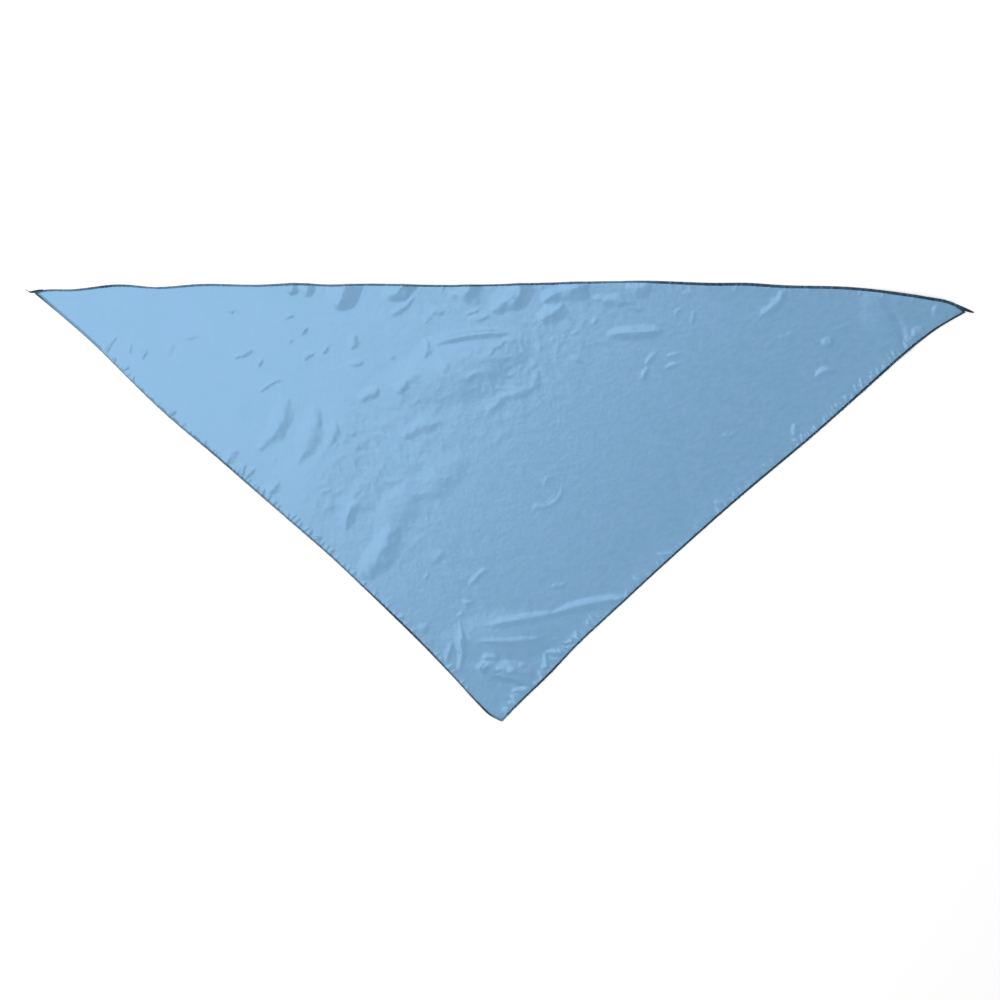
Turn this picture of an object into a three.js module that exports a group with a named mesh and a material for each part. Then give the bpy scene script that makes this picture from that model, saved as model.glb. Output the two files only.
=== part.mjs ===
import * as THREE from "three";

// A triangular satin neckerchief, lying flat with the folds it was packed in.
// Millimetres: +X runs along the long edge, the point lies towards -Y, and +Z is up.
const LONG_EDGE = 1000; // from tip to tip, over the hems
const POINT_DROP = 450; // from the line between the tips to the point
const POINT_ALONG = 511; // from the left tip to the point, measured along the long edge
const CLOTH_THICKNESS = 1.2;
const HEM_WIDTH = 2.4; // the rolled edge, seen from above
const HEM_HEIGHT = 2;
const SEAM_GAP = 0.3; // between the cloth and a hem, and between two hems at a corner
const FOLD_LENGTH = 60; // a common fold's, which the rows of FOLDS take shares of
const FOLD_WIDTH = 24;
const FOLD_HEIGHT = 2;
const SWELL_LENGTH = 130; // a broad, low swell's, which the rows of SWELLS take shares of
const SWELL_WIDTH = 70;
const SWELL_HEIGHT = 2.5;

// Counts and shares that set how finely the cloth is faceted.
const GRID_STEPS = 28; // along each edge, before any are split
const EDGE_BAND = 0.75; // the strip along the edges that is split once, in steps of the grid
const HEM_SIDES = 8;
const TIP_SHARE = 0.93; // nearer a corner than this, the cloth is split finely
const BOW_FADE = 3; // how fast an edge's bow dies away inside the cloth
const FOLD_MARGINS = [0.5, 0.18]; // how far round a fold each pass splits, in fold widths

const CLOTH_FINISH = new THREE.MeshStandardMaterial({
  color: 0x86b1d8,
  roughness: 0.42,
  metalness: 0,
});
const HEM_FINISH = new THREE.MeshStandardMaterial({
  color: 0x1f3c58,
  roughness: 0.75,
  metalness: 0,
});

// The three edges, clockwise from above. Each row of bows gives a place along the edge,
// and how far the edge stands out of the straight line there, both as shares of its length.
const EDGES = [
  {
    name: "hem_long_edge", // from the left tip to the right tip
    bows: [
      { at: 0, bow: 0 },
      { at: 0.01, bow: 0.0026 },
      { at: 0.02, bow: 0.0033 },
      { at: 0.03, bow: 0.0034 },
      { at: 0.04, bow: 0.0037 },
      { at: 0.09, bow: 0.0097 },
      { at: 0.13, bow: 0.008 },
      { at: 0.18, bow: 0.0121 },
      { at: 0.24, bow: 0.0126 },
      { at: 0.28, bow: 0.0149 },
      { at: 0.32, bow: 0.0143 },
      { at: 0.36, bow: 0.0162 },
      { at: 0.4, bow: 0.0161 },
      { at: 0.45, bow: 0.0166 },
      { at: 0.55, bow: 0.0209 },
      { at: 0.65, bow: 0.025 },
      { at: 0.73, bow: 0.024 },
      { at: 0.765, bow: 0.0247 },
      { at: 0.8, bow: 0.0232 },
      { at: 0.88, bow: 0.0223 },
      { at: 0.94, bow: 0.0161 },
      { at: 0.96, bow: 0.0133 },
      { at: 0.98, bow: 0.0101 },
      { at: 0.99, bow: 0.0065 },
      { at: 1, bow: 0 },
    ],
  },
  {
    name: "hem_right_edge", // from the right tip to the point
    bows: [
      { at: 0, bow: 0 },
      { at: 0.015, bow: -0.0034 },
      { at: 0.044, bow: -0.0093 },
      { at: 0.073, bow: -0.0126 },
      { at: 0.1, bow: -0.0144 },
      { at: 0.22, bow: -0.0138 },
      { at: 0.31, bow: -0.0136 },
      { at: 0.48, bow: -0.0175 },
      { at: 0.6, bow: -0.0173 },
      { at: 0.66, bow: -0.0164 },
      { at: 0.74, bow: -0.0145 },
      { at: 0.83, bow: -0.0121 },
      { at: 0.89, bow: -0.0067 },
      { at: 0.95, bow: -0.004 },
      { at: 0.975, bow: -0.0026 },
      { at: 1, bow: 0 },
    ],
  },
  {
    name: "hem_left_edge", // from the point to the left tip
    bows: [
      { at: 0, bow: 0 },
      { at: 0.02, bow: 0.005 },
      { at: 0.05, bow: 0.0042 },
      { at: 0.105, bow: -0.0006 },
      { at: 0.19, bow: -0.0058 },
      { at: 0.3, bow: -0.0086 },
      { at: 0.38, bow: -0.0096 },
      { at: 0.47, bow: -0.0073 },
      { at: 0.55, bow: -0.0052 },
      { at: 0.62, bow: -0.0034 },
      { at: 0.7, bow: 0.0006 },
      { at: 0.75, bow: 0.001 },
      { at: 0.8, bow: -0.0004 },
      { at: 0.88, bow: -0.0032 },
      { at: 0.94, bow: -0.002 },
      { at: 1, bow: 0 },
    ],
  },
];

// The main folds. along and down place the middle, as shares of LONG_EDGE and POINT_DROP,
// and turn is the ridge's direction in degrees. long, wide and high are shares of the
// FOLD_ sizes, and bow is how far the ridge curves to its left, as a share of its own length.
const FOLDS = [
  { name: "top_tuck", along: 0.276, down: -0.012, turn: 67, long: 0.4, bow: 0, wide: 0.75, high: 0.8 },
  { name: "top_fold_1", along: 0.333, down: -0.002, turn: 66, long: 0.75, bow: 0, wide: 1.05, high: 1 },
  { name: "top_fold_2", along: 0.395, down: -0.014, turn: 27, long: 0.75, bow: 0, wide: 0.8, high: 0.7 },
  { name: "top_fold_3", along: 0.532, down: -0.014, turn: 47, long: 0.8, bow: 0, wide: 0.95, high: 0.8 },
  { name: "top_fold_4", along: 0.792, down: -0.009, turn: 45, long: 0.77, bow: -0.05, wide: 0.8, high: 0.8 },
  { name: "long_crease", along: 0.473, down: 0.084, turn: 10, long: 1.7, bow: 0.04, wide: 0.7, high: 0.6 },
  { name: "short_crease", along: 0.502, down: 0.107, turn: 35, long: 0.75, bow: 0.08, wide: 0.7, high: 0.5 },
  { name: "bar_fold", along: 0.645, down: 0.067, turn: 6, long: 1.25, bow: 0, wide: 0.75, high: 0.8 },
  { name: "left_dash", along: 0.257, down: 0.208, turn: 36, long: 0.6, bow: 0, wide: 0.7, high: 0.6 },
  { name: "left_fold_1", along: 0.259, down: 0.296, turn: -112, long: 1.15, bow: 0.13, wide: 0.9, high: 0.8 },
  { name: "left_fold_2", along: 0.297, down: 0.326, turn: -106, long: 1.25, bow: 0.05, wide: 1, high: 0.9 },
  { name: "left_fold_3", along: 0.346, down: 0.517, turn: 70, long: 0.7, bow: 0.03, wide: 1, high: 0.8 },
  { name: "left_fold_4", along: 0.375, down: 0.603, turn: 60, long: 0.95, bow: -0.07, wide: 1.4, high: 1 },
  { name: "centre_fold_1", along: 0.417, down: 0.307, turn: 20, long: 0.85, bow: 0.04, wide: 0.9, high: 0.8 },
  { name: "centre_fold_2", along: 0.511, down: 0.233, turn: 30, long: 1.2, bow: 0.04, wide: 1, high: 0.8 },
  { name: "hook_fold", along: 0.562, down: 0.462, turn: 55, long: 0.6, bow: -0.1, wide: 0.7, high: 0.6 },
  { name: "tip_fold", along: 0.918, down: 0.032, turn: -60, long: 1.1, bow: 0.12, wide: 1.1, high: 0.8 },
  { name: "point_rib", along: 0.463, down: 0.822, turn: 89, long: 1.05, bow: -0.07, wide: 0.8, high: 0.7 },
  { name: "point_fold_1", along: 0.53, down: 0.754, turn: 11, long: 1.6, bow: 0, wide: 0.95, high: 0.9 },
  { name: "point_fold_2", along: 0.604, down: 0.718, turn: 13, long: 1.5, bow: 0.02, wide: 1.05, high: 1 },
  { name: "point_fold_3", along: 0.52, down: 0.801, turn: 4, long: 1.37, bow: -0.04, wide: 0.85, high: 0.8 },
  { name: "point_fold_4", along: 0.526, down: 0.893, turn: 2, long: 1.05, bow: 0, wide: 1.05, high: 0.9 },
];

// Broad swells, with the same columns but as shares of the SWELL_ sizes.
const SWELLS = [
  { name: "left_swell", along: 0.315, down: 0.39, turn: -112, long: 1.3, bow: 0, wide: 1.5, high: 0.9 },
  { name: "middle_swell", along: 0.455, down: 0.16, turn: 20, long: 1.35, bow: 0, wide: 1.3, high: 0.8 },
  { name: "point_swell", along: 0.51, down: 0.8, turn: 6, long: 1.1, bow: 0, wide: 1, high: 1 },
  { name: "tip_swell", along: 0.9, down: 0.06, turn: -50, long: 0.7, bow: 0, wide: 0.9, high: 0.7 },
];

// The corner of the cloth inside a hemmed corner: both edges are moved in by the same depth.
function insetCorner(corner, next, previous, depth) {
  const toNext = next.clone().sub(corner).normalize();
  const toPrevious = previous.clone().sub(corner).normalize();
  const inwards = toNext.clone().add(toPrevious).normalize();
  const halfAngle = Math.acos(inwards.dot(toNext));
  return corner.clone().addScaledVector(inwards, depth / Math.sin(halfAngle));
}

const hemmedCorners = [
  new THREE.Vector2(0, 0),
  new THREE.Vector2(LONG_EDGE, 0),
  new THREE.Vector2(POINT_ALONG, -POINT_DROP),
];
const clothCorners = hemmedCorners.map((corner, i) =>
  insetCorner(corner, hemmedCorners[(i + 1) % 3], hemmedCorners[(i + 2) % 3], HEM_WIDTH + SEAM_GAP),
);

// Each edge's line and bow, as functions of the share along it.
const clothEdges = EDGES.map((edge, i) => {
  const line = clothCorners[(i + 1) % 3].clone().sub(clothCorners[i]);
  const places = edge.bows.map((row) => row.at);
  const bows = edge.bows.map((row) => row.bow);
  const curve = new THREE.CubicInterpolant(places, bows, 1);
  return {
    outwards: new THREE.Vector2(-line.y, line.x).normalize(),
    bowAt: (share) => curve.evaluate(share)[0] * line.length(),
  };
});

// A place on the cloth, seen from above, from its weights towards the three corners.
function planOf(weights) {
  const place = new THREE.Vector2();
  const [toLeft, toRight, toPoint] = weights.toArray();
  place.addScaledVector(clothCorners[0], toLeft);
  place.addScaledVector(clothCorners[1], toRight);
  place.addScaledVector(clothCorners[2], toPoint);
  clothEdges.forEach((edge, i) => {
    const from = weights.getComponent(i);
    const to = weights.getComponent((i + 1) % 3);
    const nearness = from + to;
    if (nearness > 0) {
      place.addScaledVector(edge.outwards, edge.bowAt(to / nearness) * nearness ** BOW_FADE);
    }
  });
  return place;
}

// A ridge in the cloth's plane, with its sizes worked out.
function ridgeOf(row, length, width, height) {
  return {
    middle: new THREE.Vector2(row.along * LONG_EDGE, -row.down * POINT_DROP),
    turn: THREE.MathUtils.degToRad(row.turn),
    halfLength: (row.long * length) / 2,
    halfWidth: (row.wide * width) / 2,
    bow: row.bow * row.long * length,
    height: row.high * height,
  };
}

const ridges = [
  ...FOLDS.map((row) => ridgeOf(row, FOLD_LENGTH, FOLD_WIDTH, FOLD_HEIGHT)),
  ...SWELLS.map((row) => ridgeOf(row, SWELL_LENGTH, SWELL_WIDTH, SWELL_HEIGHT)),
];
const foldRidges = ridges.slice(0, FOLDS.length);

// How far a place lies along a ridge and across it, as shares of the ridge's reach, which a
// margin widens.
function reachOf(ridge, place, margin = 0) {
  const from = place.clone().sub(ridge.middle).rotateAround(new THREE.Vector2(), -ridge.turn);
  const crest = ridge.bow * (1 - (from.x / ridge.halfLength) ** 2);
  return {
    along: Math.abs(from.x) / (ridge.halfLength + margin),
    across: Math.abs(from.y - crest) / (ridge.halfWidth + margin),
  };
}

function fade(share) {
  return share < 1 ? Math.cos((share * Math.PI) / 2) ** 2 : 0;
}

// The height of the cloth's underside: nothing where it lies flat, and a sum of ridges elsewhere.
function reliefAt(place) {
  return ridges.reduce((height, ridge) => {
    const { along, across } = reachOf(ridge, place);
    return height + ridge.height * fade(along ** 2) * fade(across);
  }, 0);
}

// An even grid of triangles over the cloth, whose points are weights towards the corners.
function gridOf(steps) {
  const points = [];
  const faces = [];
  const rows = [];
  for (let down = 0; down <= steps; down++) {
    rows.push([]);
    for (let along = 0; along <= steps - down; along++) {
      const weights = new THREE.Vector3(steps - along - down, along, down);
      rows[down].push(points.push(weights.divideScalar(steps)) - 1);
    }
  }
  for (let down = 0; down < steps; down++) {
    const upper = rows[down];
    const lower = rows[down + 1];
    for (let along = 0; along < steps - down; along++) {
      faces.push([upper[along], lower[along], upper[along + 1]]);
      if (along < steps - down - 1) {
        faces.push([upper[along + 1], lower[along], lower[along + 1]]);
      }
    }
  }
  return { points, faces };
}

// Splits each edge whose middle the test picks, and the triangles on both its sides with it.
function splitEdges(grid, isPicked) {
  const points = [...grid.points];
  const middles = new Map();
  function middleOf(a, b) {
    const key = Math.min(a, b) + "_" + Math.max(a, b);
    if (!middles.has(key)) {
      const middle = points[a].clone().add(points[b]).divideScalar(2);
      middles.set(key, isPicked(middle) ? points.push(middle) - 1 : null);
    }
    return middles.get(key);
  }
  const faces = grid.faces.flatMap((face) => {
    const cuts = face.map((corner, i) => middleOf(corner, face[(i + 1) % 3]));
    const count = cuts.filter((cut) => cut !== null).length;
    if (count === 0) {
      return [face];
    }
    const first = count === 2 ? cuts.indexOf(null) + 1 : cuts.findIndex((cut) => cut !== null);
    const [a, b, c] = [0, 1, 2].map((i) => face[(first + i) % 3]);
    const [ab, bc, ca] = [0, 1, 2].map((i) => cuts[(first + i) % 3]);
    if (count === 1) {
      return [[a, ab, c], [ab, b, c]];
    }
    if (count === 2) {
      return [[a, ab, c], [ab, b, bc], [ab, bc, c]];
    }
    return [[a, ab, ca], [ab, b, bc], [ca, bc, c], [ab, bc, ca]];
  });
  return { points, faces };
}

// The cloth's triangles: finer at its edges, at its corners and under its folds.
function panelGrid() {
  let grid = gridOf(GRID_STEPS);
  FOLD_MARGINS.forEach((margin, pass) => {
    grid = splitEdges(grid, (weights) => {
      const shares = weights.toArray();
      const isAtEdge = pass === 0 && Math.min(...shares) * GRID_STEPS < EDGE_BAND;
      const isAtCorner = Math.max(...shares) > TIP_SHARE;
      const place = planOf(weights);
      return isAtEdge || isAtCorner || foldRidges.some((ridge) => {
        const { along, across } = reachOf(ridge, place, margin * FOLD_WIDTH);
        return along < 1 && across < 1;
      });
    });
  });
  return grid;
}

// The cloth's points with their height, and the loop of points round its outline.
const grid = panelGrid();
const plans = grid.points.map(planOf);
const reliefs = plans.map(reliefAt);
const edgeRuns = EDGES.map((edge, i) => {
  const to = (i + 1) % 3;
  const opposite = (i + 2) % 3;
  return grid.points
    .map((weights, index) => index)
    .filter((index) => grid.points[index].getComponent(opposite) === 0)
    .sort((a, b) => grid.points[a].getComponent(to) - grid.points[b].getComponent(to));
});
const outline = edgeRuns.flatMap((run) => run.slice(0, -1));

// At each point of the outline, the way out square to both of its sides: one unit along it
// moves both sides out by one unit.
const mitres = new Map(
  outline.map((index, i) => {
    const before = plans[outline.at(i - 1)];
    const here = plans[index];
    const after = plans[outline[(i + 1) % outline.length]];
    const sideIn = here.clone().sub(before).normalize();
    const sideOut = after.clone().sub(here).normalize();
    const normalIn = new THREE.Vector2(-sideIn.y, sideIn.x);
    const normalOut = new THREE.Vector2(-sideOut.y, sideOut.x);
    const outwards = normalIn.clone().add(normalOut).normalize();
    return [index, outwards.divideScalar(outwards.dot(normalIn))];
  }),
);

function solidMesh(name, corners, faces, finish) {
  const geometry = new THREE.BufferGeometry();
  const positions = corners.flatMap((corner) => corner.toArray());
  geometry.setAttribute("position", new THREE.Float32BufferAttribute(positions, 3));
  geometry.setIndex(faces.flat());
  geometry.computeVertexNormals();
  const mesh = new THREE.Mesh(geometry, finish);
  mesh.name = name;
  return mesh;
}

// The cloth: its upper face, its underside, and a narrow wall all round.
function clothPanel() {
  const count = grid.points.length;
  const upper = plans.map((p, i) => new THREE.Vector3(p.x, p.y, reliefs[i] + CLOTH_THICKNESS));
  const under = plans.map((p, i) => new THREE.Vector3(p.x, p.y, reliefs[i]));
  const underFaces = grid.faces.map(([a, b, c]) => [a + count, c + count, b + count]);
  const walls = outline.flatMap((a, i) => {
    const b = outline[(i + 1) % outline.length];
    return [[a + count, a, b], [a + count, b, b + count]];
  });
  return solidMesh("cloth", [...upper, ...under], [...grid.faces, ...underFaces, ...walls], CLOTH_FINISH);
}

// The hem's section: an oval of flats, with one flat on the surface the cloth lies on and
// one facing the cloth.
const hemSection = Array.from({ length: HEM_SIDES }, (_, side) => {
  const angle = ((side + 0.5) * 2 * Math.PI) / HEM_SIDES;
  const cornerShare = 1 / Math.cos(Math.PI / HEM_SIDES);
  return {
    out: SEAM_GAP + (HEM_WIDTH / 2) * (1 + Math.cos(angle) * cornerShare),
    up: (HEM_HEIGHT / 2) * (1 + Math.sin(angle) * cornerShare),
  };
});

// One rolled hem: the section carried along its edge, and cut on the mitre at both corners.
function rolledHem(name, run) {
  const first = plans[run[1]].clone().sub(plans[run[0]]).normalize();
  const last = plans[run.at(-2)].clone().sub(plans[run.at(-1)]).normalize();
  const corners = run.flatMap((index, i) => {
    const mitre = mitres.get(index);
    const pullBack = (SEAM_GAP / 2) * mitre.length();
    const start = plans[index].clone();
    if (i === 0) {
      start.addScaledVector(first, pullBack);
    }
    if (i === run.length - 1) {
      start.addScaledVector(last, pullBack);
    }
    return hemSection.map(({ out, up }) => {
      const place = start.clone().addScaledVector(mitre, out);
      return new THREE.Vector3(place.x, place.y, reliefs[index] + up);
    });
  });
  const faces = [];
  for (let i = 0; i < run.length - 1; i++) {
    for (let side = 0; side < HEM_SIDES; side++) {
      const next = (side + 1) % HEM_SIDES;
      const a = i * HEM_SIDES + side;
      const b = i * HEM_SIDES + next;
      faces.push([a, b, b + HEM_SIDES], [a, b + HEM_SIDES, a + HEM_SIDES]);
    }
  }
  const end = corners.length - HEM_SIDES;
  for (let side = 1; side < HEM_SIDES - 1; side++) {
    faces.push([0, side + 1, side], [end, end + side, end + side + 1]);
  }
  return solidMesh(name, corners, faces, HEM_FINISH);
}

const neckerchief = new THREE.Group();
neckerchief.name = "neckerchief";
neckerchief.add(clothPanel());
EDGES.forEach((edge, i) => neckerchief.add(rolledHem(edge.name, edgeRuns[i])));

// The origin is the middle of the outline's box, on the surface that the cloth lies on.
const box = new THREE.Box3().setFromObject(neckerchief, true);
const middle = box.getCenter(new THREE.Vector3());
neckerchief.position.set(-middle.x, -middle.y, -box.min.z);

export default neckerchief;
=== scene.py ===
import math
from collections import namedtuple

import bpy
import numpy as np
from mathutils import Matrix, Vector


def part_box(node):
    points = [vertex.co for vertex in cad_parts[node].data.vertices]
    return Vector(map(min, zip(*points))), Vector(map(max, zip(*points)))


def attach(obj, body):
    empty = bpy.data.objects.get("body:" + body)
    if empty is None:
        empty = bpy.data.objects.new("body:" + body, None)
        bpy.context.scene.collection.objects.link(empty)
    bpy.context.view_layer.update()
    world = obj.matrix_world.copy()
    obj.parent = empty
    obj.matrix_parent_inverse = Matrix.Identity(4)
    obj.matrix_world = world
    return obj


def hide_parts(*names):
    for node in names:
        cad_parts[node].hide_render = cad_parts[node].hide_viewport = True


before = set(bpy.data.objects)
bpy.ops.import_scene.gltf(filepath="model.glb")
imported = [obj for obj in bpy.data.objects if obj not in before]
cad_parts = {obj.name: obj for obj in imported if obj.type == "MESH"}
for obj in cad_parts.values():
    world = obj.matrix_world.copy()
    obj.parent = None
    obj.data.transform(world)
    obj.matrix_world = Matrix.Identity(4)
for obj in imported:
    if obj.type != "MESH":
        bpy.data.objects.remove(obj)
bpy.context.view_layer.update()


# The cloth. A triangle of thin polyester satin, cut as half of a square so that its warp and
# weft run along the two short edges. It lies on a flat surface, still creased from its packet,
# and its raw edges end inside the rolled hems.
MM = 0.001
LONG_EDGE = 1000 * MM
POINT_DROP = 450 * MM
POINT_ALONG = 511 * MM
HEM_WIDTH = 2.4 * MM
SEAM_GAP = 0.3 * MM
CLOTH_THICKNESS = 0.35 * MM
HEM_RISE = 0.45 * MM
RISE_REACH = 14 * MM
FOLD_LENGTH = 54 * MM
FOLD_WIDTH = 24 * MM
FOLD_HEIGHT = 2 * MM
CREASE_LENGTH = 17 * MM
CREASE_WIDTH = 10 * MM
CREASE_HEIGHT = 1 * MM
SWELL_LENGTH = 130 * MM
SWELL_WIDTH = 70 * MM
SWELL_HEIGHT = 2.5 * MM
PUCKER_LENGTH = 20 * MM
PUCKER_WIDTH = 5 * MM
PUCKER_HEIGHT = 0.6 * MM

# The edges in order round the cloth, clockwise from above: the long edge from the left tip to
# the right, then down to the point, then back. Each pair is a share along the edge, and how far
# the edge stands out of the straight line there as a share of its length. Inside the cloth the
# bow dies away, the faster the higher BOW_FADE is.
BOW_FADE = 3
EDGE_BOWS = (
    ((0, 0), (0.01, 0.0026), (0.02, 0.0033), (0.03, 0.0034), (0.04, 0.0037), (0.09, 0.0097),
     (0.13, 0.008), (0.18, 0.0121), (0.24, 0.0126), (0.28, 0.0149), (0.32, 0.0143),
     (0.36, 0.0162), (0.4, 0.0161), (0.45, 0.0166), (0.55, 0.0209), (0.65, 0.025),
     (0.73, 0.024), (0.765, 0.0247), (0.8, 0.0232), (0.88, 0.0223), (0.94, 0.0161),
     (0.96, 0.0133), (0.98, 0.0101), (0.99, 0.0065), (1, 0)),
    ((0, 0), (0.015, -0.0034), (0.044, -0.0093), (0.073, -0.0126), (0.1, -0.0144),
     (0.22, -0.0138), (0.31, -0.0136), (0.48, -0.0175), (0.6, -0.0173), (0.66, -0.0164),
     (0.74, -0.0145), (0.83, -0.0121), (0.89, -0.0067), (0.95, -0.004), (0.975, -0.0026),
     (1, 0)),
    ((0, 0), (0.02, 0.005), (0.05, 0.0042), (0.105, -0.0006), (0.19, -0.0058), (0.3, -0.0086),
     (0.38, -0.0096), (0.47, -0.0073), (0.55, -0.0052), (0.62, -0.0034), (0.7, 0.0006),
     (0.75, 0.001), (0.8, -0.0004), (0.88, -0.0032), (0.94, -0.002), (1, 0)),
)

# Where the cloth rises. Each row gives a ridge's middle as shares of LONG_EDGE and POINT_DROP,
# its turn in degrees, its length as a share of its table's size, its sideways bow as a share of
# that length, its width and height as shares of its table's sizes, and how crisp it is, from a
# soft wave to a sharp crease. A height below zero is a valley. The pressed ones and the swells
# run straighter than the rest, which waver as cloth does.
Fold = namedtuple("Fold", "along down turn long bow wide high crisp")
FOLDS = (
    Fold(0.397, -0.035, 38, 1.00, 0.00, 1.00, 1.30, 0.9),
    Fold(0.520, -0.036, 76, 0.93, 0.00, 1.40, 1.40, 0.9),
    Fold(0.792, -0.009, 45, 0.77, -0.05, 0.55, 0.55, 0.7),  # at the long edge
    Fold(0.502, 0.107, 35, 0.70, 0.08, 0.34, 0.18, 0.8),  # short crease
    Fold(0.257, 0.208, 36, 0.55, 0.00, 0.30, 0.34, 0.9),  # left side
    Fold(0.258, 0.296, -112, 1.25, 0.13, 1.15, 0.66, 0.2),
    Fold(0.295, 0.326, -106, 1.35, 0.05, 1.15, 0.76, 0.2),
    Fold(0.345, 0.517, 70, 0.60, 0.03, 0.70, 0.48, 0.8),
    Fold(0.375, 0.596, 60, 1.35, -0.07, 1.50, 0.85, 0.4),
    Fold(0.417, 0.307, 20, 0.85, 0.04, 0.62, 0.46, 1.1),  # middle
    Fold(0.511, 0.233, 30, 1.20, 0.04, 0.62, 0.36, 0.9),
    Fold(0.562, 0.462, 55, 0.50, -0.10, 0.34, 0.20, 0.6),
    Fold(0.463, 0.822, 89, 1.05, -0.07, 0.46, 0.50, 0.8),  # point
    Fold(0.514, 0.877, -4, 1.20, 0.00, 1.15, 1.30, 1.0),
    Fold(0.527, 0.898, -7, 1.05, 0.00, 0.46, 0.64, 0.9),
)
PRESSED = (
    Fold(0.278, -0.029, 80, 0.43, 0.00, 0.72, 1.05, 1.0),  # tucks and folds at the long edge
    Fold(0.334, -0.027, 72, 1.00, 0.00, 1.55, 1.70, 1.1),
    Fold(0.470, 0.091, 9, 1.60, 0.05, 0.50, 0.80, 1.0),  # long crease
    Fold(0.645, 0.068, 4, 1.12, 0.00, 0.62, 0.90, 1.1),  # the straight bar
    Fold(0.530, 0.754, 11, 1.60, 0.00, 0.56, 0.48, 0.6),  # long ridges above the point
    Fold(0.604, 0.718, 13, 1.60, 0.02, 0.66, 0.66, 0.7),
    Fold(0.520, 0.801, 4, 1.37, -0.04, 0.48, 0.42, 0.6),
    Fold(0.918, 0.034, -62, 1.20, 0.12, 0.60, -0.75, 0.9),  # arc at the right tip
)
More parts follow.
